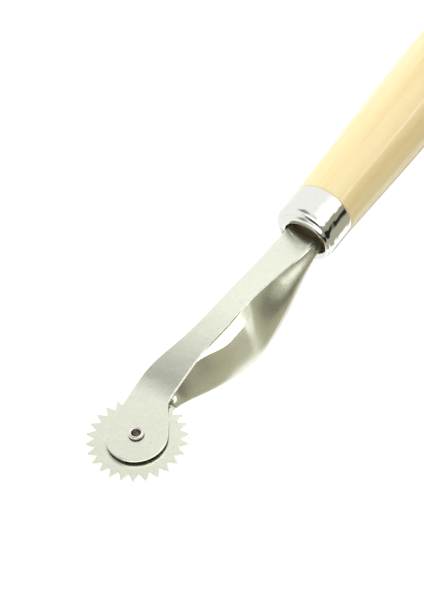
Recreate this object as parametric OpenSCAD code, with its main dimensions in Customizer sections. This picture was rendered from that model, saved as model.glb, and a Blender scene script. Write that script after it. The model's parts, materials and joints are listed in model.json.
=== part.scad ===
// Serrated hand wheel: a toothed disc running in a two-armed sheet-metal fork,
// ferrule and turned wooden handle. Millimetres, +Z up.
// The origin is the centre of the flat on the handle's butt. +X is the handle
// axis, out through the butt; +Z runs along the axle towards the straight arm.
// Inside the modules lengths are counted from the axle; place() moves them home.

/* [Wheel] */
// Diameter over the tooth tips
wheel_d = 20; // [18:0.5:24]
// Number of teeth
teeth = 26; // [18:1:36]
// Depth of a tooth from tip to root
tooth_h = 1.65; // [1:0.05:2.2]
// Turn of the wheel at rest, in degrees
tooth_turn = 3.35; // [0:0.05:20]
// Thickness of the wheel blank
wheel_t = 0.7; // [0.6:0.05:0.9]
// Thickness left at the very tips
tip_t = 0.68; // [0.3:0.02:0.7]

/* [Axle rivet] */
// Diameter of the rivet shank
shank_d = 2.5; // [2:0.1:3]
// Diameter of the hollow in the rivet
hollow_d = 1.8; // [1.2:0.1:2]
// Running clearance of the wheel on the shank, on the radius
run_c = 0.05; // [0.02:0.01:0.09]
// Diameter of the factory head
head_d = 4.7; // [4:0.1:5.5]
// Thickness of the factory head
head_t = 0.8; // [0.5:0.1:1.2]
// Diameter of the rolled end
roll_d = 3.15; // [2.8:0.05:3.6]
// Height of the rolled end above the arm
roll_h = 0.7; // [0.4:0.05:1]

/* [Washers] */
// Outside diameter of a spacing washer
washer_d = 5.2; // [4.5:0.1:7]
// Thickness of a spacing washer
washer_t = 0.6; // [0.3:0.05:0.63]

/* [Fork] */
// Sheet thickness of both arms
sheet = 0.7; // [0.5:0.05:0.8]
// Clear gap between the two arm ends
gap = 2.0; // [1.9:0.05:2.3]
// Radius of the round arm ends
eye_r = 6.15; // [5.5:0.05:6.5]
// Height of the bow below the wheel plane
bow_h = 11.1; // [7:0.1:12]
// Distance from the axle to the top of the bow
bow_x = 38; // [28:1:42]
// Width of the bowed arm at its widest
bow_w = 13.2; // [9:0.1:13.4]
// Depth of the bowed arm's short flange
flange_d = 2.3; // [1.5:0.1:3.5]
// Rise of the straight arm above the wheel plane
arm_rise = 3.2; // [2:0.1:4]
// Length of tang inside the handle
tang_l = 26; // [18:1:34]

/* [Ferrule] */
// Distance from the axle to the front shoulder of the ferrule
fer_x = 61; // [58:0.5:64]
// Length of the cylindrical skirt
fer_l = 7.9; // [7:0.1:10]
// Outside diameter of the ferrule
fer_d = 13.9; // [13:0.1:15]
// Wall thickness of the ferrule
fer_t = 0.5; // [0.4:0.05:0.8]
// How far the collar round the mouth stands forward
collar_l = 0.9; // [0.5:0.05:1.5]
// Half width of the oval mouth
mouth_a = 4.9; // [4.7:0.05:5.1]
// Half height of the oval mouth
mouth_b = 3.7; // [3.4:0.05:4]

/* [Handle] */
// Length of wood behind the ferrule
wood_l = 89; // [80:1:105]
// Diameter where the wood meets the ferrule
wood_d0 = 14.0; // [13.6:0.1:15]
// Largest diameter of the wood
wood_d1 = 16.9; // [16:0.1:19]
// Diameter of the flat on the butt
butt_d = 8; // [6:0.5:10]

/* [Hidden] */
hy = 1.3;                 // handle axis, across the tool
hz = -1.85;               // handle axis, along the axle direction
r_tip = wheel_d / 2;
r_root = r_tip - tooth_h;
zi = gap / 2;             // inner face of an arm end
zo = zi + sheet;          // outer face of an arm end
hole_r = shank_d / 2 + 0.01;
mouth_x = fer_x - collar_l;
mouth_y = -0.9;           // centre of the mouth, off the handle axis
butt_x = fer_x + fer_l + wood_l;
tang_x = fer_x + 7;       // both tangs lie together from here
tang_e = tang_x + tang_l;
tz = hz + 2 * sheet;      // top of the upper tang
neck_x = 10.4;            // start of the hollow part of the bowed arm
c = 0.05;                 // assembly clearance
spig_r = fer_d / 2 - fer_t - 0.01;

// eased step from 0 to 1
function ease(t) = let (q = min(1, max(0, t))) (1 - cos(180 * q)) / 2;
// value running a -> b over x0..x1, quicker at first, then b -> e over x1..x2
function hump(x, x0, a, x1, b, x2, e) =
    x < x1 ? a + (b - a) * ease(pow(max(0, (x - x0) / (x1 - x0)), 0.7))
           : b + (e - b) * ease((x - x1) / (x2 - x1));
// value running through eased steps between the knots of t
function run(x, t, i = 0) = x <= t[i][0] ? t[i][1] : i + 1 >= len(t) ? t[i][1]
    : x < t[i + 1][0] ? t[i][1] + (t[i + 1][1] - t[i][1]) * ease((x - t[i][0]) / (t[i + 1][0] - t[i][0]))
    : run(x, t, i + 1);
// centre line of the bowed arm, running from beside the wheel to the handle axis
function yc(x) = hy + 1.4 * min(1, max(0, (fer_x - x) / 49));
// centre line of the straight arm
function ys(x) = run(x, [[12, 3.3], [34, 1.47], [fer_x, 1.15]]);
// outer face of the straight arm: flat, a bend behind the eye, a long crown, then down to the tang
bend0 = 8.5;
bend1 = 13.5;
crown = 32;
rise_s = 2 * (arm_rise - zo) / (crown - bend0);
function z_top(x) = x < bend0 ? zo
    : x < bend1 ? zo + rise_s * pow(x - bend0, 2) / (2 * (bend1 - bend0))
    : x < crown ? arm_rise - rise_s * pow(crown - x, 2) / (2 * (crown - bend1))
    : arm_rise + (tz - arm_rise) * ease((x - crown) / (fer_x + 1 - crown));
// outer face of the bowed arm
function z_bot(x) = hump(x, neck_x - 0.84, -zo, bow_x, -bow_h, fer_x + 1, hz - 2);
// half width of the straight arm; of the bowed arm on its walled and on its open side
function hw_s(x) = run(x, [[12, 3.85], [26, 2.72], [38, 2.56], [fer_x, 3.4]]);
function hw_b(x) = hump(x, neck_x - 0.3, 4.42, bow_x + 3, bow_w / 2, fer_x + 4, 4.4);
function hw_o(x) = hump(x, neck_x - 0.3, 3.75, bow_x + 3, bow_w / 2 - 0.5, fer_x - 1, 3);

xs_arm = [for (i = [0:44]) bend0 + (fer_x + 3 - bend0) * i / 44];
xs_bow = [for (i = [0:26]) neck_x + (fer_x + 2.5 - neck_x) * i / 26];

module place() { translate([-butt_x, -hy, -hz]) children(); }

// ---- wheel -------------------------------------------------------------
module wheel() {
    color([0.80, 0.80, 0.76]) place() difference() {
        intersection() {
            linear_extrude(height = wheel_t, center = true)
                polygon([for (i = [0:teeth - 1], k = [0:1])
                    let (a = 360 * (i + k / 2) / teeth + tooth_turn, r = k == 0 ? r_tip : r_root)
                    [r * cos(a), r * sin(a)]]);
            rotate_extrude($fn = 96) polygon([
                [0, -wheel_t / 2], [r_root - 0.3, -wheel_t / 2], [r_tip + 0.01, -tip_t / 2],
                [r_tip + 0.01, tip_t / 2], [r_root - 0.3, wheel_t / 2], [0, wheel_t / 2]]);
        }
        cylinder(r = shank_d / 2 + run_c, h = 4, center = true, $fn = 48);
    }
}

// ---- axle rivet: factory head below, rolled hollow end on top ------------
module axle_rivet() {
    color([0.78, 0.76, 0.70]) place() rotate_extrude($fn = 48) polygon([
        [0, -zo - head_t], [head_d / 2 - 0.25, -zo - head_t], [head_d / 2, -zo - head_t + 0.25],
        [head_d / 2, -zo], [shank_d / 2, -zo], [shank_d / 2, zo],
        [roll_d / 2 - 0.3, zo + 0.02], [roll_d / 2 - 0.06, zo + 0.16], [roll_d / 2, zo + 0.35], [roll_d / 2, zo + roll_h - 0.25],
        [roll_d / 2 - 0.22, zo + roll_h], [hollow_d / 2 + 0.12, zo + roll_h],
        [hollow_d / 2, zo + roll_h - 0.15], [hollow_d / 2, -zo + 0.3], [0, -zo]]);
}

module washer() {
    difference() {
        cylinder(d = washer_d, h = washer_t, $fn = 48);
        translate([0, 0, -1]) cylinder(r = shank_d / 2 + 0.06, h = 3, $fn = 48);
    }
}
module washer_straight_side() { color([0.70, 0.70, 0.68]) place() translate([0, 0, zi - washer_t]) washer(); }
module washer_bowed_side() { color([0.70, 0.70, 0.68]) place() translate([0, 0, -zi]) washer(); }

// ---- straight arm ----------------------------------------------------------
module straight_plan() {
    circle(r = eye_r, $fn = 96);
    // strip and its waist behind the eye
    polygon(concat(
        [[0, eye_r], [4, eye_r + 0.25], [8, eye_r + 0.62], [10.5, ys(12) + hw_s(12) - 0.05]],
        [for (x = xs_arm) if (x > 12) [x, ys(x) + hw_s(x)]],
        [for (i = [len(xs_arm) - 1:-1:0]) let (x = xs_arm[i]) if (x > 12) [x, ys(x) - hw_s(x)]],
        [[11, -0.68], [10, -0.86], [9.1, -1.15], [8.2, -1.65], [7.3, -2.35], [6.35, -3.2], [5.2, -3.95], [3.6, -4.98], [0, -3]]));
}
module straight_arm() {
    color([0.83, 0.83, 0.79]) place() difference() {
        union() {
            intersection() {
                translate([0, 0, -6]) linear_extrude(height = 12) straight_plan();
                translate([0, 20, 0]) rotate([90, 0, 0]) linear_extrude(height = 40)
                    polygon(concat(
                        [[-8, zo]], [for (x = xs_arm) [x, z_top(x)]],
                        [for (i = [len(xs_arm) - 1:-1:0]) [xs_arm[i], z_top(xs_arm[i]) - sheet]],
                        [[-8, zi]]));
            }
            translate([fer_x + 2.9, hy - 3.45, tz - sheet]) cube([tang_e - fer_x - 2.9, 6.9, sheet]);
        }
        translate([0, 0, -3]) cylinder(r = hole_r, h = 8, $fn = 48);
    }
}

// ---- bowed arm: hollow pressed channel, open towards the straight arm -----
// one closed outline of the sheet at station x, as [y, z] pairs: a short flange on
// the open side, the crown, then a wall that curls in under the straight arm
function arc(cy, cz, r, a0, a1, n) = [for (i = [0:n]) let (a = a0 + (a1 - a0) * i / n) [cy + r * cos(a), cz + r * sin(a)]];
// width of the facet that joins the wall to the lip
function facet(x) = run(x, [[19, 0.8], [28.5, 2.6], [33, 2.6], [39.5, 0.8]]);
// how far the wall bellies out between the crown and the facet
function belly(x) = run(x, [[12, 0], [34, 0.3], [50, 0.3], [60, 0]]);
function bend(cy, cz, ry, rz, a0, a1, n) =
    [for (i = [0:n]) let (a = a0 + (a1 - a0) * i / n) [cy + ry * cos(a), cz + rz * sin(a)]];
function skin(x, o) =
    let (h = hw_b(x), g = hw_o(x), zt = z_top(x) - sheet - c, zb = z_bot(x), d = zt - zb,
         rz = max(sheet + 0.15, min(d * 0.42, run(x, [[33, 1], [44, 3.8], [fer_x, 2]]))),
         ry = min(run(x, [[33, 1], [44, 2.2], [fer_x, 1.4]]), max(sheet + 0.15, d * 0.5)),
         rc = min(1.2, max(sheet + 0.12, d * 0.3)), zf = zb + max(rc + 0.1, min(flange_d, d * 0.55)),
         s = facet(x), zw = zt - 0.643 * s, up = zw - zb - rz,
         m = max(yc(x) - ys(x) + hw_s(x) - 1.1 + (s - 0.8) * 0.4, h - 0.766 * s - 0.75 * up),
         yw = -m - 0.766 * s, lean = atan2(yw + h, up), wall = [yw, zw], q = 0.3,
         nw = [-cos(lean), sin(lean)], nf = [-0.643, 0.766])
    concat([[g - o, zf]], bend(g - rc, zb + rc, rc - o, rc - o, 0, -90, 4),
           bend(-h + ry, zb + rz, ry - o, rz - o, 270, 180, 5),
           [([-h, zb + rz] + wall) / 2 + (belly(x) - o) * nw, wall - q * [nw[1], -nw[0]] - o * nw, wall + q * [0.766, 0.643] - o * nf,
            [-m + 0.364 * o, zt - o], [0.8 - m, zt - o]]);
function section(x) = let (a = skin(x, 0), b = skin(x, sheet))
    concat(a, [for (i = [len(b) - 1:-1:0]) b[i]]);
module channel() {
    n = len(section(20));
    k = len(xs_bow);
    pts = [for (x = xs_bow) for (p = section(x)) [x, yc(x) + p[0], p[1]]];
    // the end caps are bands, split into quads between the two skins
    function inner(i) = n - 1 - i;
    polyhedron(points = pts, convexity = 8, faces = concat(
        [for (s = [0:k - 2], i = [0:n - 1]) let (a = s * n + i, b = s * n + (i + 1) % n)
            each [[a, b, b + n], [a, b + n, a + n]]],
        [for (i = [0:n / 2 - 2]) each [[i, inner(i), inner(i + 1)], [i, inner(i + 1), i + 1]]],
        [for (i = [0:n / 2 - 2]) let (o = (k - 1) * n) each
            [[o + i, o + inner(i + 1), o + inner(i)], [o + i, o + i + 1, o + inner(i + 1)]]]));
}
module bowed_plan() {
    circle(r = eye_r, $fn = 96);
    polygon([[0, eye_r], [4, eye_r + 0.05], [8, eye_r + 0.15], [neck_x, yc(neck_x) + hw_o(neck_x)],
        [neck_x, yc(neck_x) - hw_b(neck_x)], [9.6, -1.15], [8.4, -1.65], [7.4, -2.35], [6.4, -3.2],
        [5.2, -3.95], [3.6, -4.98], [0, -3]]);
}
module bowed_arm() {
    color([0.81, 0.81, 0.76]) place() difference() {
        union() {
            translate([0, 0, -zo + 0.01]) linear_extrude(height = sheet - 0.01) bowed_plan();
            channel();
            // tabs folded up beside the neck keep the arm ends apart
            translate([9.35, eye_r - 0.55, -zo + 0.1]) cube([2.3, sheet, gap + sheet - 0.15]);
            translate([10.7, -1.2, -zo + 0.1]) cube([1.2, sheet, gap + sheet - 0.15]);
            // web turned up to the straight arm inside the ferrule, then the tang
            translate([0, hy + 3.45, 0]) rotate([90, 0, 0]) linear_extrude(height = 6.9) polygon([
                [fer_x + 1.5, z_bot(fer_x + 2.5)], [fer_x + 3.4, z_bot(fer_x + 2.5)], [tang_x, tz - 2 * sheet - 0.02],
                [tang_e, tz - 2 * sheet - 0.02], [tang_e, tz - sheet - 0.02], [tang_x - 0.2, tz - sheet - 0.02],
                [fer_x + 3.1, z_bot(fer_x + 2.5) + sheet], [fer_x + 1.5, z_bot(fer_x + 2.5) + sheet]]);
        }
        translate([0, 0, -5]) cylinder(r = hole_r, h = 8, $fn = 48);
    }
}

// ---- ferrule -----------------------------------------------------------------
module along_x(x) { translate([x, hy, hz]) rotate([90, 0, 90]) children(); }
module ferrule() {
    r = fer_d / 2;
    color([0.86, 0.86, 0.87]) place() difference() {
        union() {
            along_x(0) rotate_extrude($fn = 96) polygon(concat(
                [[0, fer_x]], arc(r - 1, fer_x + 1, 1, -90, 0, 6),
                [[r, fer_x + fer_l], [r - fer_t, fer_x + fer_l], [r - fer_t, fer_x + 1 + fer_t], [0, fer_x + 1 + fer_t]]));
            // oval collar, its front edge eased
            along_x(mouth_x + 0.4) translate([-0.5, 0]) linear_extrude(height = collar_l) scale([6.2, 5.8]) circle(r = 1, $fn = 96);
            along_x(mouth_x) translate([-0.6, 0]) linear_extrude(height = 0.5, scale = [6.15 / 5.8, 5.75 / 5.35]) scale([5.8, 5.35]) circle(r = 1, $fn = 96);
        }
        along_x(mouth_x - 1) translate([mouth_y, 0]) linear_extrude(height = collar_l + 4) scale([mouth_a, mouth_b]) circle(r = 1, $fn = 96);
    }
}

// ---- handle ---------------------------------------------------------------------
module handle() {
    x0 = fer_x + fer_l;
    r0 = wood_d0 / 2;
    r1 = wood_d1 / 2;
    color([0.93, 0.84, 0.62]) place() difference() {
        along_x(0) rotate_extrude($fn = 96) polygon(concat(
            [[0, fer_x + 1.6], [spig_r - 0.4, fer_x + 1.6], [spig_r, fer_x + 2], [spig_r, x0 + 0.02], [r0 - 0.25, x0 + 0.02], [r0, x0 + 0.3]],
            [for (i = [1:16]) let (t = i / 16) [r0 + (r1 - r0) * sin(90 * t), x0 + 0.3 + (wood_l * 0.62) * t]],
            [for (i = [1:12]) let (t = i / 12) [r1 - (r1 - 7.3) * (1 - cos(90 * t)), x0 + 0.3 + wood_l * (0.62 + 0.3 * t)]],
            [for (i = [1:8]) let (a = 90 * i / 8) [butt_d / 2 + (7.3 - butt_d / 2) * cos(a), x0 + wood_l * 0.92 + 0.3 + (wood_l * 0.08 - 0.3) * sin(a)]],
            [[0, x0 + wood_l]]));
        // slot for the tangs
        translate([0, hy - 3.5, tz - sheet * 2 - 0.05]) cube([tang_e + 0.3, 7, sheet * 2 + 0.1]);
        // room for the bowed arm where it turns in
        translate([0, hy - 4.8, hz - 2.2]) cube([tang_x + 0.4, 9.6, 3.65]);
    }
}

wheel();
axle_rivet();
washer_straight_side();
washer_bowed_side();
straight_arm();
bowed_arm();
ferrule();
handle();
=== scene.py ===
import json
import math

import bmesh
import bpy
from mathutils import Matrix, Vector
from mathutils.geometry import delaunay_2d_cdt


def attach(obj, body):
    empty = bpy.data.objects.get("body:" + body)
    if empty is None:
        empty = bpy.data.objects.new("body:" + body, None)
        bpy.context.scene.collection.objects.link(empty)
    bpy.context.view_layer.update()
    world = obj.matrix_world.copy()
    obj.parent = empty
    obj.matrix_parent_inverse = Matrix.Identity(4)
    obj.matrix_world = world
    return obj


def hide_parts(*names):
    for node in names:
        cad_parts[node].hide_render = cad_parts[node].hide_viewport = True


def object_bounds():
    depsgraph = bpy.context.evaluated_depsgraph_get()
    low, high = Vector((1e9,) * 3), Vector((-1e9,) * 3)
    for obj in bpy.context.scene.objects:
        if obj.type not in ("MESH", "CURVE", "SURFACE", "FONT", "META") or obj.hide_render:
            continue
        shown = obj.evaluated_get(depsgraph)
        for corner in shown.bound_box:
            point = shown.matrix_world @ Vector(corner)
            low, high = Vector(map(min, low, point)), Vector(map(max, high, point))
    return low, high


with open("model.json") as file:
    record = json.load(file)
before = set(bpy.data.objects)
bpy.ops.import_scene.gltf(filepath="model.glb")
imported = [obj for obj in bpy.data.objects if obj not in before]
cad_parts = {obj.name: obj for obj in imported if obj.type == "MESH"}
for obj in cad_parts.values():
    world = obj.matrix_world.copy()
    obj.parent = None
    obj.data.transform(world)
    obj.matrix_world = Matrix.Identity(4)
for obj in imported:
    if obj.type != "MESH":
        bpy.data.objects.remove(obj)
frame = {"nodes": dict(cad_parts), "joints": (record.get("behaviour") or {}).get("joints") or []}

CAD_LO, CAD_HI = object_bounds()
NODES = frame["nodes"]
AXLE = Vector(frame["joints"][0]["pos_m"])    # centre of the wheel, metres
MM = 0.001

# ---------------------------------------------------------------- sizes, mm from the axle
# x runs to the handle, z along the axle towards the straight arm.
HANDLE_Y, HANDLE_Z, BUTT_X = -AXLE.y / MM, -AXLE.z / MM, -AXLE.x / MM

TEETH = 26
TIP_R, ROOT_R = 10.0, 8.35
FIRST_TOOTH = math.radians(3.35)
TIP_FLAT, ROOT_FLAT = 0.006, 0.012    # half the flat on a tip and in a root, radians
WHEEL_T, TIP_T = 0.7, 0.68
BORE_R = 1.3

HOLLOW_R, SHANK_R, HEAD_R, HEAD_T = 0.9, 1.25, 2.35, 0.8
ROLL_MID, ROLL_TUBE = 1.225, 0.35     # rolled rivet end: mean radius and radius of the roll

SHEET = 0.7
GAP = 1.0                             # middle of the wheel to an arm's inner face
FACE = GAP + SHEET                    # and to its outer face
LIP_GAP = 0.05                        # between the bowed arm's lip and the strip
EYE_R, HOLE_R = 6.15, 1.26

RISE, RISE_X = 3.2, 32.0              # highest point of the straight arm
BEND_FROM, BEND_TO = 8.5, 13.5
STRIP_FROM = 12.0                     # where the neck has become the strip

NECK_X = 10.4
BOW_DEPTH, BOW_X, BOW_W = 11.1, 38.0, 13.2
FLANGE = 2.3
FACET = math.radians(40)              # how far the facet turns from level
FACET_T = Vector((math.cos(FACET), math.sin(FACET)))
FACET_N = Vector((-math.sin(FACET), math.cos(FACET)))

FER_X, FER_L, FER_R, FER_T = 61.0, 7.9, 6.95, 0.5
FER_BACK = FER_X + FER_L
FER_BORE = FER_R - FER_T
MOUTH_Y, MOUTH_A, MOUTH_B = -0.9, 4.9, 3.7    # oval mouth: sideways shift, half width, half height

TANG_END, TANG_HALF = FER_X + 33, 3.45
TANG_TOP = HANDLE_Z + 2 * SHEET       # the tangs lie one on the other

WOOD_X, WOOD_START = FER_BACK, FER_X + 1.6
WOOD_R, SWELL_R, DOME_R, BUTT_R = 7.0, 8.45, 7.3, 4.0
SWELL_AT, DOME_AT = 0.62, 0.92        # shares of the wood's length


# ---------------------------------------------------------------- curves of the arms
def ease(t):
    """From 0 to 1 with a level start and end."""
    t = min(1.0, max(0.0, t))
    return (1 - math.cos(math.pi * t)) / 2


def run(x, knots):
    """Value at x, eased from knot to knot."""
    if x <= knots[0][0]:
        return knots[0][1]
    for (x0, v0), (x1, v1) in zip(knots, knots[1:]):
        if x < x1:
            return v0 + (v1 - v0) * ease((x - x0) / (x1 - x0))
    return knots[-1][1]


def hump(x, x0, start, x1, crest, x2, end):
    """Rises from start to crest over x0..x1, quicker at first, then eases to end at x2."""
    if x < x1:
        return start + (crest - start) * ease(max(0.0, (x - x0) / (x1 - x0)) ** 0.7)
    return crest + (end - crest) * ease((x - x1) / (x2 - x1))


def strip_mid(x):
    return run(x, [(12, 3.3), (34, 1.47), (FER_X, 1.15)])


def strip_half(x):
    return run(x, [(12, 3.85), (26, 2.72), (38, 2.56), (FER_X, 3.4)])


def strip_top(x):
    """Flat at the wheel, bent up, curved over at RISE_X and down to the tang."""
    slope = 2 * (RISE - FACE) / (RISE_X - BEND_FROM)
    if x < BEND_FROM:
        return FACE
    if x < BEND_TO:
        return FACE + slope * (x - BEND_FROM) ** 2 / (2 * (BEND_TO - BEND_FROM))
    if x < RISE_X:
        return RISE - slope * (RISE_X - x) ** 2 / (2 * (RISE_X - BEND_TO))
    return RISE + (TANG_TOP - RISE) * ease((x - RISE_X) / (FER_X + 1 - RISE_X))


def bow_mid(x):
    return HANDLE_Y + 1.4 * min(1.0, max(0.0, (FER_X - x) / 49))


def bow_bottom(x):
    return hump(x, NECK_X - 0.84, -FACE, BOW_X, -BOW_DEPTH, FER_X + 1, HANDLE_Z - 2)


def bow_half_wall(x):
    """From the bow's middle to the wall."""
    return hump(x, NECK_X - 0.3, 4.42, BOW_X + 3, BOW_W / 2, FER_X + 4, 4.4)


def bow_half_flange(x):
    """From the bow's middle to the flange on its open side."""
    return hump(x, NECK_X - 0.3, 3.75, BOW_X + 3, BOW_W / 2 - 0.5, FER_X - 1, 3.0)


# ---------------------------------------------------------------- mesh helpers
def rounded(point):
    return tuple(round(c, 3) for c in point)


def from_axle(co):
    """A metre position as millimetres from the axle."""
    return (co - AXLE) / MM


def add_object(name, verts, faces, body, mats, stands_for, pick=None, normals=None):
    """A smooth mesh piece from points in millimetres, with its own normals if given.

    pick chooses a face's material from the place of its centre.
    """
    mesh = bpy.data.meshes.new(name)
    mesh.from_pydata([AXLE + Vector(v) * MM for v in verts], [], faces)
    bm = bmesh.new()
    bm.from_mesh(mesh)
    bmesh.ops.remove_doubles(bm, verts=bm.verts, dist=2e-6)
    bmesh.ops.recalc_face_normals(bm, faces=bm.faces)
    bm.to_mesh(mesh)
    bm.free()
    for mat in mats:
        mesh.materials.append(mat)
    for face in mesh.polygons:
        face.use_smooth = True
        if pick:
            face.material_index = pick(from_axle(face.center))
    if normals:
        known = {rounded(v): n for v, n in zip(verts, normals)}
        plain = [Vector(v.normal) for v in mesh.vertices]
        found = [known.get(rounded(from_axle(v.co)), n) for v, n in zip(mesh.vertices, plain)]
        mesh.normals_split_custom_set_from_vertices([tuple(n) for n in found])
    ob = bpy.data.objects.new(name, mesh)
    bpy.context.scene.collection.objects.link(ob)
    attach(ob, body)
    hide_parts(*stands_for)
    return ob


def even_shading(ob):
    mod = ob.modifiers.new("even_shading", "WEIGHTED_NORMAL")
    mod.weight = 80
    mod.keep_sharp = False


def ring_faces(rows, cols):
    """Quads of a skin of closed rings, each of cols points."""
    faces = []
    for i in range(rows - 1):
        for j in range(cols):
            a, b = i * cols + j, i * cols + (j + 1) % cols
            faces.append((a, b, b + cols, a + cols))
    return faces


def polar(r, angle):
    return (r * math.cos(angle), r * math.sin(angle))


def chaikin(pts, times):
    """Rounds the corners of an open path by cutting them."""
    for _ in range(times):
        cut = [pts[0]]
        for p, q in zip(pts, pts[1:]):
            cut.append(tuple(0.75 * a + 0.25 * b for a, b in zip(p, q)))
            cut.append(tuple(0.25 * a + 0.75 * b for a, b in zip(p, q)))
        pts = cut + [pts[-1]]
    return pts


def inset(loop, distance):
    """The closed 2D loop moved sideways, to its left."""
    moved = []
    for i, here in enumerate(loop):
        before, at, after = Vector(loop[i - 1]), Vector(here), Vector(loop[(i + 1) % len(loop)])
        a, b = (at - before).normalized(), (after - at).normalized()
        left_a, left_b = Vector((-a.y, a.x)), Vector((-b.y, b.x))
        mitre = (left_a + left_b) / max(0.35, 1 + left_a.dot(left_b))
        moved.append((at.x + mitre.x * distance, at.y + mitre.y * distance))
    return moved


def inside(pt, loop):
    hit = False
    for (x0, y0), (x1, y1) in zip(loop, loop[1:] + loop[:1]):
        if (y0 > pt[1]) != (y1 > pt[1]) and pt[0] < (x1 - x0) * (pt[1] - y0) / (y1 - y0) + x0:
            hit = not hit
    return hit


def level_normal(level, x, y):
    """Upward normal of the surface z = level(x, y)."""
    e = 0.01
    slope_x = (level(x + e, y) - level(x - e, y)) / (2 * e)
    slope_y = (level(x, y + e) - level(x, y - e)) / (2 * e)
    return Vector((-slope_x, -slope_y, 1)).normalized()


def rounded_edges(loops, top, bottom, edge, rings):
    """Rings round each loop, from the top face over the edge to the bottom face."""
    verts, faces, normals = [], [], []
    angles = [math.pi / 2 * (1 - i / (rings - 1)) for i in range(rings)]
    steps = [(a, top, 1) for a in angles] + [(a, bottom, -1) for a in reversed(angles)]
    for loop in loops:
        base = len(verts)
        outward = [(Vector(p) - Vector(q)).normalized() for p, q in zip(loop, inset(loop, 0.01))]
        for angle, level, side in steps:
            drop = side * edge * (1 - math.sin(angle))
            ring = inset(loop, edge * (1 - math.cos(angle)))
            for (x, y), out in zip(ring, outward):
                up = level_normal(level, x, y) * side
                verts.append((x, y, level(x, y) - drop))
                normals.append((up * math.sin(angle) + out.to_3d() * math.cos(angle)).normalized())
        faces += [tuple(base + k for k in f) for f in ring_faces(len(steps), len(loop))]
    return verts, faces, normals


def plate(outline, holes, top, bottom, edge, step, rings=5):
    """A flat or gently bent sheet with rounded edges: vertices, faces and exact normals.

    outline runs anticlockwise and holes clockwise; top and bottom give z at (x, y);
    edge is the radius of the rounding and step the spacing of the inner points.
    """
    loops = [outline] + holes
    verts, faces, normals = rounded_edges(loops, top, bottom, edge, rings)
    flat = [inset(loop, edge) for loop in loops]
    pts, borders = [], []
    for loop in flat:
        base = len(pts)
        pts += [Vector(p) for p in loop]
        borders += [(base + i, base + (i + 1) % len(loop)) for i in range(len(loop))]
    clear = [inset(loop, edge + step * 0.55) for loop in loops]
    x0, x1 = min(p[0] for p in outline), max(p[0] for p in outline)
    y0, y1 = min(p[1] for p in outline), max(p[1] for p in outline)
    for i in range(int((x1 - x0) / step) + 1):
        for j in range(int((y1 - y0) / step) + 1):
            p = (x0 + i * step, y0 + (j + 0.5 * (i % 2)) * step)
            if inside(p, clear[0]) and not any(inside(p, hole) for hole in clear[1:]):
                pts.append(Vector(p))
    points, _, triangles, _, _, _ = delaunay_2d_cdt(pts, borders, [], 1, 1e-6)
    for level, side in ((top, 1), (bottom, -1)):
        base = len(verts)
        verts += [(p.x, p.y, level(p.x, p.y)) for p in points]
        normals += [level_normal(level, p.x, p.y) * side for p in points]
        for tri in triangles:
            centre = sum((points[k] for k in tri), Vector((0, 0))) / 3
            if not any(inside(centre, hole) for hole in flat[1:]):
                faces.append(tuple(base + k for k in tri[::side]))
    return verts, faces, normals


def clockwise_circle(r, n=64):
    return [polar(r, -2 * math.pi * (i + 1) / n) for i in range(n)]


def spin_about_axle(profile, n=96):
    """A skin of (radius, z) points turned about the axle."""
    verts = [(*polar(r, 2 * math.pi * i / n), z) for r, z in profile for i in range(n)]
    return verts, ring_faces(len(profile), n)


def ovals_about_handle(path, n):
    """A skin of (x, half width, half height, sideways shift) ovals about the handle's axis."""
    verts = []
    for x, a, b, shift in path:
        for i in range(n):
            turn = 2 * math.pi * i / n
            verts.append((x, HANDLE_Y + shift + a * math.cos(turn), HANDLE_Z + b * math.sin(turn)))
    return verts, ring_faces(len(path), n)


# ---------------------------------------------------------------- node helpers
class Nodes:
    """Short names for building a node tree."""

    def __init__(self, tree):
        self.tree = tree
        tree.nodes.clear()

    def set(self, socket, value):
        if isinstance(value, bpy.types.NodeSocket):
            self.tree.links.new(value, socket)
        elif isinstance(value, tuple) and socket.type == "RGBA":
            socket.default_value = (*value, 1)
        else:
            socket.default_value = value

    def new(self, kind, **inputs):
        node = self.tree.nodes.new(kind)
        for name, value in inputs.items():
            self.set(node.inputs[name.replace("_", " ")], value)
        return node

    def math(self, operation, a, b):
        node = self.new("ShaderNodeMath")
        node.operation = operation
        self.set(node.inputs[0], a)
        self.set(node.inputs[1], b)
        return node.outputs[0]

    def mix(self, factor, a, b):
        node = self.new("ShaderNodeMix")
        node.data_type = "RGBA"
        for socket, value in zip((node.inputs[0], node.inputs[6], node.inputs[7]), (factor, a, b)):
            self.set(socket, value)
        return node.outputs[2]

    def span(self, value, a, b, to_a, to_b):
        """Maps a..b to to_a..to_b, held at the ends."""
        node = self.new("ShaderNodeMapRange", Value=value, From_Min=a, From_Max=b, To_Min=to_a, To_Max=to_b)
        return node.outputs[0]

    def fade(self, value, a, b):
        """Softly from 0 at a to 1 at b; b may be below a."""
        node = self.new("ShaderNodeMapRange", Value=value, From_Min=a, From_Max=b)
        node.interpolation_type = "SMOOTHSTEP"
        return node.outputs[0]


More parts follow.
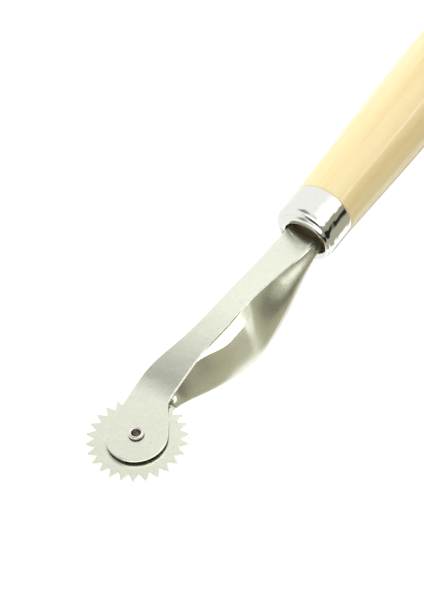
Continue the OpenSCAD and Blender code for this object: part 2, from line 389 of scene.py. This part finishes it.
class Surface(Nodes):
    """A material with one principled shader, in the object's coordinates."""

    def __init__(self, name):
        self.mat = bpy.data.materials.new(name)
        self.mat.use_nodes = True
        super().__init__(self.mat.node_tree)
        self.shader = self.new("ShaderNodeBsdfPrincipled")
        self.new("ShaderNodeOutputMaterial", Surface=self.shader.outputs[0])
        self.place = self.new("ShaderNodeTexCoord").outputs["Object"]

    def put(self, **inputs):
        for name, value in inputs.items():
            self.set(self.shader.inputs[name.replace("_", " ")], value)

    def scaled(self, scale, shift=(0, 0, 0)):
        """Coordinates in waves per metre, one number or one for each axis."""
        node = self.new("ShaderNodeMapping", Vector=self.place)
        node.inputs["Scale"].default_value = scale if isinstance(scale, tuple) else (scale,) * 3
        node.inputs["Location"].default_value = shift
        return node.outputs[0]

    def noise(self, where, detail=3.0, rough=0.55, distortion=0.0):
        node = self.new("ShaderNodeTexNoise", Vector=where, Scale=1.0, Detail=detail,
                        Roughness=rough, Distortion=distortion)
        return node.outputs["Fac"]

    def ramp(self, factor, *stops):
        node = self.new("ShaderNodeValToRGB")
        self.set(node.inputs[0], factor)
        elements = node.color_ramp.elements
        while len(elements) < len(stops):
            elements.new(0.5)
        for element, (position, colour) in zip(elements, stops):
            element.position = position
            element.color = (*colour, 1)
        return node.outputs[0]

    def bump(self, height, strength, distance, normal=None):
        node = self.new("ShaderNodeBump", Height=height, Strength=strength, Distance=distance)
        if normal is not None:
            self.set(node.inputs["Normal"], normal)
        return node.outputs[0]


# ---------------------------------------------------------------- materials
def nickel(name, colour, rough, pits, waviness):
    """Satin nickel plate: fine tumbled grain, a slow waviness and small dark pits."""
    s = Surface(name)
    slow = s.noise(s.scaled(260.0), detail=2.0)
    fine = s.noise(s.scaled(4200.0), detail=4.0, rough=0.7)
    mid = s.noise(s.scaled(1400.0, (3.1, 0.7, 1.9)))
    worn = tuple(c * 0.955 for c in colour)
    base = s.mix(s.span(mid, 0.35, 0.65, 0, 1), worn, colour)
    cell = s.new("ShaderNodeTexVoronoi", Vector=s.scaled(900.0, (0.3, 2.2, 0.9)), Scale=1.0, Randomness=1.0)
    spot = s.span(cell.outputs["Distance"], 0.05, 0.12, pits, 0.0)
    random = s.new("ShaderNodeSeparateColor", Color=cell.outputs["Color"]).outputs[0]
    pit = s.math("MULTIPLY", spot, s.math("GREATER_THAN", random, 0.72))
    base = s.mix(pit, base, (0.20, 0.19, 0.16))
    grain = s.span(fine, 0.3, 0.7, rough - 0.03, rough + 0.05)
    s.put(Base_Color=base, Metallic=1.0,
          Roughness=s.math("ADD", grain, s.span(slow, 0.3, 0.7, -0.02, 0.02)))
    normal = s.bump(slow, waviness, 0.0006)
    normal = s.bump(fine, 0.07, 0.00005, normal)
    normal = s.bump(pit, 0.25, -0.0001, normal)
    s.put(Normal=normal)
    return s.mat


def polished_edge_and_highlight():
    """The sheared and tumbled edge of the arms: brighter than the faces, partly from the polish and partly a
    painted highlight.
    """
    s = Surface("polished_edge_and_highlight")
    noise = s.noise(s.scaled((900.0, 900.0, 5200.0)))
    s.put(Base_Color=s.ramp(noise, (0.3, (0.84, 0.83, 0.80)), (0.7, (0.96, 0.95, 0.92))), Metallic=1.0,
          Roughness=s.span(noise, 0.3, 0.7, 0.14, 0.24), Normal=s.bump(noise, 0.2, 0.00006))
    return s.mat


def chrome():
    """Bright plate with the slow dents of a thin drawn cup."""
    s = Surface("ferrule_chrome")
    slow = s.noise(s.scaled(150.0, (0.4, 1.3, 2.2)), detail=2.5, rough=0.5)
    ripple = s.noise(s.scaled((120.0, 900.0, 900.0), (5.0, 0.0, 0.0)), detail=2.0)
    fine = s.noise(s.scaled(6000.0), detail=2.0)
    s.put(Base_Color=s.ramp(fine, (0.3, (0.71, 0.71, 0.68)), (0.7, (0.81, 0.81, 0.78))), Metallic=1.0,
          Roughness=s.span(fine, 0.3, 0.7, 0.03, 0.09))
    s.put(Normal=s.bump(ripple, 0.10, 0.0003, s.bump(slow, 0.35, 0.0010)))
    return s.mat


def plain_metal(name, colour, rough):
    s = Surface(name)
    noise = s.noise(s.scaled(2600.0))
    dull = tuple(c * 0.82 for c in colour)
    s.put(Base_Color=s.mix(s.span(noise, 0.35, 0.65, 0, 1), dull, colour), Metallic=1.0,
          Roughness=s.span(noise, 0.3, 0.7, rough - 0.04, rough + 0.06), Normal=s.bump(noise, 0.2, 0.00008))
    return s.mat


def wood():
    """Pale close-grained hardwood under clear lacquer: streaks and pores run along X."""
    s = Surface("handle_wood")
    wide = s.noise(s.scaled((9.0, 210.0, 210.0), (0.2, 0.5, 0.1)), rough=0.5, distortion=0.6)
    line = s.noise(s.scaled((26.0, 1500.0, 1500.0)), detail=4.0, rough=0.6)
    pore = s.noise(s.scaled((160.0, 5200.0, 5200.0)), detail=2.0)
    cloud = s.noise(s.scaled((45.0, 90.0, 90.0), (1.7, 0.2, 0.8)), detail=2.0)
    colour = s.ramp(wide, (0.30, (0.86, 0.68, 0.32)), (0.50, (0.93, 0.77, 0.40)), (0.72, (0.97, 0.84, 0.48)))
    colour = s.mix(s.span(line, 0.35, 0.70, 0.0, 0.22), colour, (0.76, 0.56, 0.24))
    colour = s.mix(s.span(pore, 0.60, 0.75, 0.0, 0.25), colour, (0.55, 0.36, 0.13))
    colour = s.mix(s.span(cloud, 0.45, 0.75, 0.0, 0.30), colour, (0.95, 0.78, 0.46))
    s.put(Base_Color=colour, Roughness=s.span(line, 0.3, 0.7, 0.38, 0.52),
          Normal=s.bump(line, 0.10, 0.0001))
    s.put(Coat_Weight=0.85, Coat_Roughness=0.10, Coat_IOR=1.5, Coat_Normal=s.bump(wide, 0.10, 0.0005))
    s.put(Subsurface_Weight=0.06, Subsurface_Radius=(0.004, 0.002, 0.001))
    return s.mat


def end_grain_and_shade():
    """Bare end grain inside the ferrule: its own darker wood, darkened much further as painted shade."""
    s = Surface("end_grain_and_shade")
    noise = s.noise(s.scaled((300.0, 2200.0, 2200.0)))
    s.put(Base_Color=s.ramp(noise, (0.3, (0.12, 0.085, 0.05)), (0.7, (0.24, 0.17, 0.09))), Roughness=0.9,
          Normal=s.bump(noise, 0.4, 0.0002))
    return s.mat


def paper():
    """The pale floor, lifted by a little light of its own."""
    s = Surface("floor_paper")
    noise = s.noise(s.scaled(12.0), detail=2.0)
    s.put(Base_Color=s.ramp(noise, (0.2, (0.50,) * 3), (0.8, (0.54,) * 3)), Roughness=0.9,
          Emission_Color=(1.0, 1.0, 1.0), Emission_Strength=0.75)
    return s.mat


WHEEL_M = nickel("wheel_steel", (0.80, 0.82, 0.70), 0.20, pits=0.25, waviness=0.02)
ARM_M = nickel("arm_steel", (0.80, 0.82, 0.71), 0.23, pits=0.6, waviness=0.05)
BOW_M = nickel("bow_steel", (0.80, 0.81, 0.70), 0.28, pits=0.6, waviness=0.05)
# partly painted highlight: edges coloured brighter than the faces to give a white line along them
EDGE_HIGHLIGHT_M = polished_edge_and_highlight()
RIVET_M = plain_metal("rivet_steel", (0.84, 0.83, 0.80), 0.09)
HOLLOW_M = plain_metal("rivet_hollow", (0.66, 0.58, 0.52), 0.25)
# painted shade: near-black metal in the crevice under the rolled rivet end
ROLL_SHADE_M = plain_metal("rivet_roll_painted_shade", (0.07, 0.065, 0.06), 0.35)
WASHER_M = plain_metal("washer_steel", (0.60, 0.60, 0.58), 0.30)
CHROME_M = chrome()
WOOD_M = wood()
# painted shade: darker, duller metal inside the ferrule's mouth and bore
INSIDE_SHADE_M = plain_metal("ferrule_inside_painted_shade", (0.66, 0.65, 0.60), 0.34)
# partly painted shade: the wood inside the ferrule is far darker than end grain alone
END_SHADE_M = end_grain_and_shade()


# ---------------------------------------------------------------- wheel
def toothed_outline():
    """Pointed teeth with tiny flats on the tips and in the roots."""
    pitch = 2 * math.pi / TEETH
    corners = []
    for i in range(TEETH):
        tip = i * pitch + FIRST_TOOTH
        root = tip + pitch / 2
        corners += [polar(TIP_R, tip - TIP_FLAT), polar(TIP_R, tip + TIP_FLAT)]
        corners += [polar(ROOT_R, root - ROOT_FLAT), polar(ROOT_R, root + ROOT_FLAT)]
    outline = []
    for p, q in zip(corners, corners[1:] + corners[:1]):
        cuts = 5 if math.dist(p, q) > 0.5 else 1
        outline += [(p[0] + (q[0] - p[0]) * k / cuts, p[1] + (q[1] - p[1]) * k / cuts) for k in range(cuts)]
    return outline


def wheel_face(x, y):
    """Height of the wheel's face: the teeth thin a little to their tips."""
    start = ROOT_R - 0.3
    share = min(1.0, max(0.0, (math.hypot(x, y) - start) / (TIP_R - start)))
    return (WHEEL_T + (TIP_T - WHEEL_T) * share) / 2


def wheel_back(x, y):
    return -wheel_face(x, y)


verts, faces, normals = plate(toothed_outline(), [clockwise_circle(BORE_R)], wheel_face, wheel_back,
                              edge=0.07, step=0.9, rings=4)
add_object("toothed_disc", verts, faces, "wheel", [WHEEL_M], ["wheel"], normals=normals)


# ---------------------------------------------------------------- axle rivet and washers
def rivet_profile():
    """Factory head on the bowed side, shank, rolled end, and the hollow down from it."""
    centre = 0.001
    head = [(centre, -FACE - HEAD_T), (HEAD_R - 0.35, -FACE - HEAD_T), (HEAD_R - 0.05, -FACE - HEAD_T + 0.1),
            (HEAD_R, -FACE - 0.45), (HEAD_R, -FACE - 0.06), (HEAD_R - 0.07, -FACE)]
    shank = [(SHANK_R + 0.02, -FACE), (SHANK_R, -FACE + 0.02), (SHANK_R, FACE - 0.02), (SHANK_R + 0.02, FACE)]
    roll = []
    for degrees in range(-80, 161, 12):
        r, z = polar(ROLL_TUBE, math.radians(degrees))
        roll.append((ROLL_MID + r, FACE + ROLL_TUBE + z))
    hollow = [(HOLLOW_R, FACE + 0.3), (HOLLOW_R, -FACE + 0.45), (HOLLOW_R - 0.15, -FACE + 0.3),
              (centre, -FACE + 0.5)]
    return chaikin(head + shank + roll + hollow, 2)


def rivet_part(p):
    """Material of a face: 1 in the hollow, 2 in the crevice under the roll (painted shade), else 0."""
    r = math.hypot(p.x, p.y)
    if r < HOLLOW_R + 0.03 and p.z > -FACE + 0.1:
        return 1
    under_roll_shade = FACE - 0.02 < p.z < FACE + 0.36
    return 2 if r > 1.2 and under_roll_shade else 0


verts, faces = spin_about_axle(rivet_profile())
add_object("tubular_rivet", verts, faces, "frame", [RIVET_M, HOLLOW_M, ROLL_SHADE_M],
           ["axle_rivet"], rivet_part)
for side in ("straight", "bowed"):
    washer = NODES[f"washer_{side}_side"]
    washer.data.materials.clear()
    washer.data.materials.append(WASHER_M)


# ---------------------------------------------------------------- straight arm
def strip_outline():
    """Round the eye, along the strip to the tang, and back."""
    neck_right = [polar(EYE_R, -1.15), polar(EYE_R, -1.0), (5.2, -3.95), (6.35, -3.2), (7.3, -2.35),
                  (8.2, -1.65), (9.1, -1.15), (10, -0.86), (11, -0.68)]
    neck_left = [(11.2, 7.12), (9.6, 7.0), (7.5, 6.78), (5, 6.5), (2.5, 6.3), (0.6, EYE_R + 0.03)]
    eye = [polar(EYE_R, -1.2 - i * 0.06) for i in reversed(range(54))]
    xs = [STRIP_FROM + i * 0.6 for i in range(int((FER_X + 3 - STRIP_FROM) / 0.6) + 1)]
    low, high, corner = HANDLE_Y - TANG_HALF, HANDLE_Y + TANG_HALF, 0.4
    tang = [(FER_X + 4, low), (TANG_END - corner, low), (TANG_END, low + corner),
            (TANG_END, high - corner), (TANG_END - corner, high), (FER_X + 4, high)]
    right = [(x, strip_mid(x) - strip_half(x)) for x in xs]
    left = [(x, strip_mid(x) + strip_half(x)) for x in reversed(xs)]
    return eye + chaikin(neck_right, 3) + right + tang + left + chaikin(neck_left, 2)


def strip_part(p):
    """Material of a face: 1 on the sheet's edge, else 0."""
    off_middle = abs(p.z - strip_top(p.x) + SHEET / 2)
    return 1 if off_middle < SHEET / 2 - 0.04 else 0


verts, faces, normals = plate(strip_outline(), [clockwise_circle(HOLE_R)], lambda x, y: strip_top(x),
                              lambda x, y: strip_top(x) - SHEET, edge=0.14, step=0.8)
add_object("straight_arm_sheet", verts, faces, "frame", [ARM_M, EDGE_HIGHLIGHT_M], ["straight_arm"],
           strip_part, normals)


# ---------------------------------------------------------------- bowed arm
FOLD = -7            # place of the fold between wall and facet, counted from a skin's end
EDGE_BULGE = 0.55    # roundness of the sheet's edge


def quarter(cy, cz, ry, rz, start, end, n):
    """Arc of an ellipse from start to end degrees."""
    angles = [math.radians(start + (end - start) * i / n) for i in range(n + 1)]
    return [(cy + ry * math.cos(a), cz + rz * math.sin(a)) for a in angles]


def skin(x, depth):
    """The channel's section at x, depth mm inside the sheet, as (y from the bow's middle, z).

    From the flange round the bottom to the wall, the fold, the facet and the lip by the strip.
    """
    half, open_half = bow_half_wall(x), bow_half_flange(x)
    top, bottom = strip_top(x) - SHEET - LIP_GAP, bow_bottom(x)
    height = top - bottom
    corner_z = max(SHEET + 0.15, min(height * 0.42, run(x, [(33, 1.0), (44, 3.8), (FER_X, 2.0)])))
    corner_y = min(run(x, [(33, 1.0), (44, 2.2), (FER_X, 1.4)]), max(SHEET + 0.15, height * 0.5))
    corner_open = min(1.2, max(SHEET + 0.12, height * 0.3))
    flange_top = bottom + max(corner_open + 0.1, min(FLANGE, height * 0.55))
    facet = run(x, [(19, 0.8), (28.5, 2.6), (33, 2.6), (39.5, 0.8), (46, 0.45)])
    fold_z = top - facet * FACET_T.y
    rise = fold_z - bottom - corner_z
    under_strip = bow_mid(x) - strip_mid(x) + strip_half(x) - 1.1 + (facet - 0.8) * 0.4
    lip_y = max(under_strip, half - facet * FACET_T.x - 0.75 * rise)
    fold = Vector((-lip_y - facet * FACET_T.x, fold_z))
    lean = math.atan2(fold.x + half, rise)
    wall_n = Vector((-math.cos(lean), math.sin(lean)))
    wall_up = Vector((math.sin(lean), math.cos(lean)))

    flange = quarter(open_half - corner_open, bottom + corner_open, corner_open - depth, corner_open - depth,
                     0, -90, 6)
    corner = quarter(corner_y - half, bottom + corner_z, corner_y - depth, corner_z - depth, 270, 180, 9)
    start_y, end_y = flange[-1][0], corner[0][0]
    floor = [(start_y + (end_y - start_y) * i / 8, bottom + depth) for i in range(1, 8)]

    foot = Vector(corner[-1])
    below = fold - 0.34 * wall_up - depth * wall_n
    above = fold + 0.30 * FACET_T - depth * FACET_N
    at_fold = fold - depth * (wall_n + FACET_N) / (1 + wall_n.dot(FACET_N))
    belly = run(x, [(12, 0.0), (34, 0.3), (50, 0.3), (60, 0.0)])
    wall = []
    for share in [i / 10 for i in range(1, 10)]:
        wall.append(foot.lerp(below, share) + 7 * belly * share * (1 - share) ** 2 * wall_n)

    lip = Vector((-lip_y + depth * math.tan(FACET / 2), top - depth))
    end = Vector((0.8 - lip_y, top - depth))
    face = [above.lerp(lip, i / 3) for i in (1, 2)]
    roll = [face[-1].lerp(lip, 0.6), lip.lerp(end, 0.25), end]
    rim = [(open_half - depth, flange_top), (open_half - depth, (flange_top + flange[0][1]) / 2)]
    return rim + flange + floor + corner + [tuple(p) for p in wall + [below, at_fold, above] + face + roll]


def eye_span(x):
    """Lowest and highest y of the flat end at x."""
    round_half = math.sqrt(max(0.0, EYE_R ** 2 - x * x))
    high = round_half if x < 0 else EYE_R + 0.3 * x / 11.8
    if x < 3.2:
        return -round_half, high
    neck = [(3.2, -5.25), (5.2, -3.95), (6.4, -3.2), (7.4, -2.35), (8.4, -1.65), (9.6, -1.35), (10.4, -1.55),
            (15, -2.4)]
    p, q = next((p, q) for p, q in zip(neck, neck[1:]) if x <= q[0])
    return p[1] + (q[1] - p[1]) * (x - p[0]) / (q[0] - p[0]), high


def blend(share, first, second):
    return [tuple(a + (b - a) * share for a, b in zip(p, q)) for p, q in zip(first, second)]


def flat_row(start, end, count, z):
    return [(start + (end - start) * i / (count - 1), z) for i in range(count)]


def edge_round(p, q, n=4):
    """Half-round edge of the sheet between p and q."""
    centre = (Vector(p) + Vector(q)) / 2
    across = Vector(p) - centre
    out = Vector((-across.y, across.x)) * EDGE_BULGE
    turns = [math.pi * i / n for i in range(1, n)]
    return [tuple(centre + across * math.cos(a) + out * math.sin(a)) for a in turns]


def bow_section(x):
    """Closed ring of the bowed arm at x: flat eye, pressed channel or flat tang."""
    channel_x = max(x, 10.3)
    mid = bow_mid(channel_x)
    outer = [(mid + y, z) for y, z in skin(channel_x, 0.0)]
    inner = [(mid + y, z) for y, z in skin(channel_x, SHEET)]
    count = len(outer)
    if x < 10.7:
        low, high = eye_span(x)
        share = ease((x - 9.7) / 1.0)
        outer = blend(share, flat_row(high, low, count, -FACE), outer)
        inner = blend(share, flat_row(high, low, count, -GAP), inner)
    share = ease((x - FER_X - 1.2) / 5.6)
    if share > 0:
        low, high = HANDLE_Y - TANG_HALF, HANDLE_Y + TANG_HALF
        tang_z = TANG_TOP - 2 * SHEET - 0.02
        outer = blend(share, outer, flat_row(high, low, count, tang_z))
        inner = blend(share, inner, flat_row(high, low, count, tang_z + SHEET))
    ring = outer + edge_round(outer[-1], inner[-1]) + inner[::-1] + edge_round(inner[0], outer[0])
    return [(x, y, z) for y, z in ring]


def bow_stations():
    """Places along x for the sections, closest where the neck turns into the channel."""
    eye = [-EYE_R * math.cos(math.pi / 2 * i / 24) for i in range(24)]
    eye[0] += 0.004
    neck = [i * 0.4 for i in range(24)]
    neck += [9.55 + i * 0.06 for i in range(24)] + [11.0 + i * 0.25 for i in range(9)]
    bow = [13.2 + i * 0.45 for i in range(int((FER_X - 13.2) / 0.45) + 1)]
    tang = [FER_X + 0.5 + i * 0.5 for i in range(14)] + [FER_X + 11 + i * 4 for i in range(6)] + [TANG_END]
    return sorted(set(round(x, 4) for x in eye + neck + bow + tang))


def end_faces(base, cols):
    """Quads that close a ring across the sheet's thickness."""
    last = base + cols - 1
    return [(base + i, base + i + 1, last - i - 1, last - i) for i in range(cols // 2 - 1)]


def crease(ob, points):
    """Keeps the edges between the given points sharp."""
    wanted = set(rounded(p) for p in points)
    on_line = [rounded(from_axle(v.co)) in wanted for v in ob.data.vertices]
    sharp = ob.data.attributes.new("sharp_edge", "BOOLEAN", "EDGE")
    for edge in ob.data.edges:
        sharp.data[edge.index].value = all(on_line[k] for k in edge.vertices)


stations = bow_stations()
sections = [bow_section(x) for x in stations]
cols = len(sections[0])
verts = [p for section in sections for p in section]
faces = ring_faces(len(stations), cols) + end_faces(0, cols) + end_faces(len(verts) - cols, cols)
bowed_arm = add_object("bowed_arm_sheet", verts, faces, "frame", [BOW_M], ["bowed_arm"])
fold_at = len(skin(BOW_X, 0.0)) + FOLD
crease(bowed_arm, [section[fold_at] for x, section in zip(stations, sections) if 15 < x < FER_X])


def neck_tab(name, x0, x1, y0, y1):
    """A tab folded up from the bowed arm's neck into the gap."""
    verts = [(x, y, z) for x in (x0, x1) for y in (y0, y1) for z in (-FACE + 0.1, GAP - 0.05)]
    faces = [(0, 1, 3, 2), (4, 6, 7, 5), (0, 4, 5, 1), (2, 3, 7, 6), (0, 2, 6, 4), (1, 5, 7, 3)]
    ob = add_object(name, verts, faces, "frame", [EDGE_HIGHLIGHT_M], ["bowed_arm"])
    mod = ob.modifiers.new("soft", "BEVEL")
    mod.width = 0.14 * MM
    mod.segments = 3
    mod.limit_method = "NONE"
    even_shading(ob)


neck_tab("neck_tab_long", 9.35, 11.65, EYE_R - 0.55, EYE_R + 0.15)
neck_tab("neck_tab_short", 10.7, 11.9, -1.2, -0.5)


# ---------------------------------------------------------------- ferrule
def ferrule_path():
    """Section of the ferrule as (x from its mouth, half width, half height, sideways shift)."""
    rim, skirt, bore = FER_L, FER_R, FER_BORE
    outside = [(rim, bore + 0.02, bore + 0.02, 0), (rim, skirt - 0.16, skirt - 0.16, 0),
               (rim - 0.03, skirt - 0.04, skirt - 0.04, 0), (rim - 0.22, skirt, skirt, 0),
               (5, skirt, skirt, 0), (2, skirt, skirt, 0)]
    shoulder = [(1.2, skirt - 0.02, skirt - 0.02, 0), (0.7, skirt - 0.12, skirt - 0.12, -0.03),
                (0.3, skirt - 0.38, skirt - 0.42, -0.12), (0.1, 6.30, 6.10, -0.36)]
    collar = [(-0.02, 6.16, 5.86, -0.50), (-0.14, 6.18, 5.84, -0.50), (-0.38, 6.16, 5.80, -0.52),
              (-0.65, 6.05, 5.66, -0.56), (-0.84, 5.86, 5.42, -0.60), (-0.90, 5.62, 5.12, -0.66),
              (-0.86, 5.36, 4.70, -0.72), (-0.76, 5.12, 4.22, -0.82), (-0.60, 4.96, 3.86, -0.88)]
    mouth = [(-0.38, MOUTH_A, MOUTH_B + 0.02, MOUTH_Y), (0.30, MOUTH_A, MOUTH_B, MOUTH_Y),
             (1.20, MOUTH_A + 0.05, MOUTH_B + 0.1, MOUTH_Y), (1.42, 5.20, 4.20, -0.80)]
    behind = [(1.46, 6.10, 6.05, 0), (1.80, bore - 0.03, bore - 0.03, 0), (5, bore, bore, 0),
              (rim, bore, bore, 0)]
    return [(FER_X + x, a, b, shift) for x, a, b, shift in outside + shoulder + collar + mouth + behind]


def ferrule_part(p):
    """Material of a face: 1 (darker, duller metal as painted shade) inside the mouth and the bore, else 0."""
    y, z = p.y - HANDLE_Y, p.z - HANDLE_Z
    in_mouth = ((y - MOUTH_Y) / (MOUTH_A + 0.03)) ** 2 + (z / (MOUTH_B + 0.06)) ** 2 < 1.03
    in_bore = math.hypot(y, z) < FER_BORE + 0.02
    return 1 if (p.x > FER_X - 0.35 and in_mouth) or (p.x > FER_X + 1.3 and in_bore) else 0


verts, faces = ovals_about_handle(chaikin(ferrule_path(), 2), 160)
add_object("ferrule_shell", verts, faces, "frame", [CHROME_M, INSIDE_SHADE_M], ["ferrule"],
           ferrule_part)


# ---------------------------------------------------------------- handle
def handle_profile():
    """(x, radius) from the spigot in the ferrule to the flat of the butt."""
    length, centre = BUTT_X - WOOD_X, 0.001
    spigot, front = FER_BORE - 0.01, WOOD_X + 0.02
    profile = [(WOOD_START, centre), (WOOD_START, spigot - 0.4), (WOOD_START + 0.4, spigot),
               (WOOD_X - 0.3, spigot), (front, spigot), (front, WOOD_R - 0.22),
               (WOOD_X + 0.08, WOOD_R - 0.08), (WOOD_X + 0.3, WOOD_R)]
    for i in range(1, 25):
        share = i / 24
        swell = (SWELL_R - WOOD_R) * math.sin(math.pi / 2 * share)
        profile.append((WOOD_X + 0.3 + length * SWELL_AT * share, WOOD_R + swell))
    for i in range(1, 15):
        share = i / 14
        waist = (SWELL_R - DOME_R) * (1 - math.cos(math.pi / 2 * share))
        profile.append((WOOD_X + 0.3 + length * (SWELL_AT + (DOME_AT - SWELL_AT) * share), SWELL_R - waist))
    dome_x, dome = WOOD_X + length * DOME_AT + 0.3, length * (1 - DOME_AT) - 0.3
    for i in range(1, 13):
        x, r = math.sin(math.pi / 2 * i / 12), math.cos(math.pi / 2 * i / 12)
        profile.append((dome_x + dome * x, BUTT_R + (DOME_R - BUTT_R) * r))
    return profile + [(BUTT_X, centre)]


verts, faces = ovals_about_handle([(x, r, r, 0) for x, r in handle_profile()], 128)
# the spigot inside the ferrule takes the end grain material, darkened as painted shade
handle = add_object("turned_handle", verts, faces, "frame", [WOOD_M, END_SHADE_M], ["handle"],
                    lambda p: 1 if p.x < WOOD_X - 0.4 else 0)
even_shading(handle)

# ---------------------------------------------------------------- stage
bpy.ops.mesh.primitive_plane_add(size=6, location=(0, 0, CAD_LO.z - 0.0002))
floor = bpy.context.object
floor.name = "floor"
floor.visible_glossy = False
floor.visible_diffuse = False
floor.data.materials.append(paper())


# ---------------------------------------------------------------- studio surroundings
def sin_d(degrees):
    return math.sin(math.radians(degrees))


def cos_d(degrees):
    return math.cos(math.radians(degrees))


class Surroundings(Nodes):
    """The world's colour by direction; elevations and angles in degrees."""

    def __init__(self):
        world = bpy.data.worlds.new("studio")
        bpy.context.scene.world = world
        world.use_nodes = True
        super().__init__(world.node_tree)
        self.background = self.new("ShaderNodeBackground", Strength=1.0)
        self.new("ShaderNodeOutputWorld", Surface=self.background.outputs[0])
        self.ray = self.new("ShaderNodeTexCoord").outputs["Generated"]
        self.x, _, self.z = self.new("ShaderNodeSeparateXYZ", Vector=self.ray).outputs

    def toward(self, axis):
        """Cosine of the angle between the ray and an axis."""
        node = self.new("ShaderNodeVectorMath")
        node.operation = "DOT_PRODUCT"
        self.set(node.inputs[0], self.ray)
        node.inputs[1].default_value = Vector(axis).normalized()
        return node.outputs["Value"]

    def past(self, height, start, end):
        """0 at the elevation start, 1 at end and beyond it."""
        return self.fade(height, sin_d(start), sin_d(end))

    def within(self, axis, outer, inner):
        """0 beyond outer degrees from the axis, 1 within inner."""
        return self.fade(self.toward(axis), cos_d(outer), cos_d(inner))


def grey(level, warm=0.0):
    return (level, level, level - warm)


def studio():
    """For the metal to reflect: a white room, grey overhead, with a banded near side."""
    s = Surroundings()
    olive, deep_olive = (0.50, 0.485, 0.37), (0.40, 0.385, 0.29)
    # grey ceiling patch over the tool
    room = s.mix(s.within((-0.10, 0.36, 0.93), 34, 14), grey(1.12, 0.02), grey(0.34, 0.02))
    # near side, the side away from the open face of the bow: its dark strip is taller towards the wheel
    tall = s.fade(s.x, 0.40, 0.05)
    z_low = s.math("ADD", s.z, s.math("MULTIPLY", tall, 0.15))
    z_high = s.math("SUBTRACT", s.z, s.math("MULTIPLY", tall, 0.12))
    side = s.mix(s.past(s.z, 56, 64), grey(1.7, 0.04), grey(0.90, 0.02))
    lamp = s.math("MULTIPLY", s.past(s.z, 30.0, 32.5), s.past(s.z, 37.0, 34.5))
    side = s.mix(lamp, side, grey(5.0, 0.1))
    side = s.mix(s.past(z_high, 29, 22), side, deep_olive)
    side = s.mix(s.past(z_high, 10, 5), side, s.mix(s.fade(s.x, 0.62, 0.55), olive, grey(0.02)))
    side = s.mix(s.past(z_low, -2, -8), side, olive)
    side = s.mix(s.past(s.z, -45, -51), side, grey(1.3, 0.03))
    side = s.mix(s.within((0.66, -0.33, -0.67), 19, 11), side, grey(1.35, 0.05))
    room = s.mix(s.within((-0.35, -0.94, 0.0), 100, 74), room, side)
    # low down beyond the tool's right edge
    room = s.mix(s.within((0.64, 0.14, -0.76), 17, 9), room, deep_olive)
    # matt surfaces are lit by a plain soft gradient from the far side
    wash = s.mix(s.fade(s.toward((0.0, 0.9, 0.43)), -0.75, 0.55), (0.53, 0.51, 0.47), grey(1.22))
    matt = s.new("ShaderNodeLightPath").outputs["Is Diffuse Ray"]
    s.set(s.background.inputs["Color"], s.mix(matt, room, wash))


studio()

# ---------------------------------------------------------------- camera
CAMERA_AT = AXLE + Vector((-180.7, -174.2, 342.8)) * MM
look = Vector((0.488, 0.408, -0.772)).normalized()
up = Vector((0.560, -0.825, -0.081)).normalized().cross(look)
right = look.cross(up)
camera = bpy.data.objects.new("camera", bpy.data.cameras.new("camera"))
bpy.context.scene.collection.objects.link(camera)
camera.matrix_world = Matrix.Translation(CAMERA_AT) @ Matrix((right, up, -look)).transposed().to_4x4()
camera.data.sensor_width = 36
camera.data.lens = 132
camera.data.clip_start = 0.01
bpy.context.scene.camera = camera
bpy.context.scene.view_settings.view_transform = "Standard"
